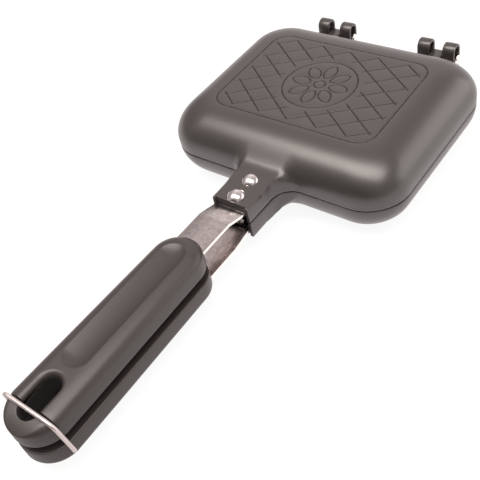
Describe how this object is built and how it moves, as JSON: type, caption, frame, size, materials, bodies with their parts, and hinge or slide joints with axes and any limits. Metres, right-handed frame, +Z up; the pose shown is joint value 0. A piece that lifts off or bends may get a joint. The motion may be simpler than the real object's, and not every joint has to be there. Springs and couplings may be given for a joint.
{
  "type": "pie iron",
  "caption": "Hinged pie iron: cast shells that close over a filled slice of bread, with a floating hinge, strap handles, moulded grips and a wire latch",
  "frame": {"origin": "middle of the bounding box in X and Y, on the flat face of the lower shell that the iron rests on", "axes": "+Z up, the handle runs towards -Y and the hinge is at +Y, +X to the right seen from the handle"},
  "size_m": [0.15, 0.3252, 0.0466],
  "materials": {
    "coated_casting": "dark warm grey satin non-stick coat on cast aluminium",
    "strap_steel": "bare stainless strip, slightly mottled",
    "grip_moulding": "dark brown grey satin moulding",
    "rivet_metal": "polished",
    "screw_steel": "plain steel",
    "bright_wire": "bright drawn wire"
  },
  "bodies": {
    "lower_half": {"lower_shell": "coated_casting", "lower_strap": "strap_steel", "lower_grip": "grip_moulding", "lower_front_rivet": "rivet_metal", "lower_rear_rivet": "rivet_metal", "lower_front_screw": "screw_steel", "lower_rear_screw": "screw_steel"},
    "hinge_pins": {"left_hinge_pin": "rivet_metal", "right_hinge_pin": "rivet_metal"},
    "upper_half": {"upper_shell": "coated_casting", "upper_strap": "strap_steel", "upper_grip": "grip_moulding", "upper_front_rivet": "rivet_metal", "upper_rear_rivet": "rivet_metal", "upper_front_screw": "screw_steel", "upper_rear_screw": "screw_steel"},
    "latch": {"latch_wire": "bright_wire"}
  },
  "joints": [
    {"name": "hinge_float", "type": "hinge", "parent": "lower_half", "child": "hinge_pins", "pos_m": [0, -0.15165, 0.029], "axis": [1, 0, 0], "range_deg": [0, 1]},
    {"name": "lid_hinge", "type": "hinge", "parent": "hinge_pins", "child": "upper_half", "pos_m": [0, 0.15805, 0.0255], "axis": [-1, 0, 0], "range_deg": [0, 180]},
    {"name": "latch_swing", "type": "hinge", "parent": "lower_half", "child": "latch", "pos_m": [0, -0.14995, 0.0152], "axis": [1, 0, 0], "range_deg": [0, 110]}
  ]
}
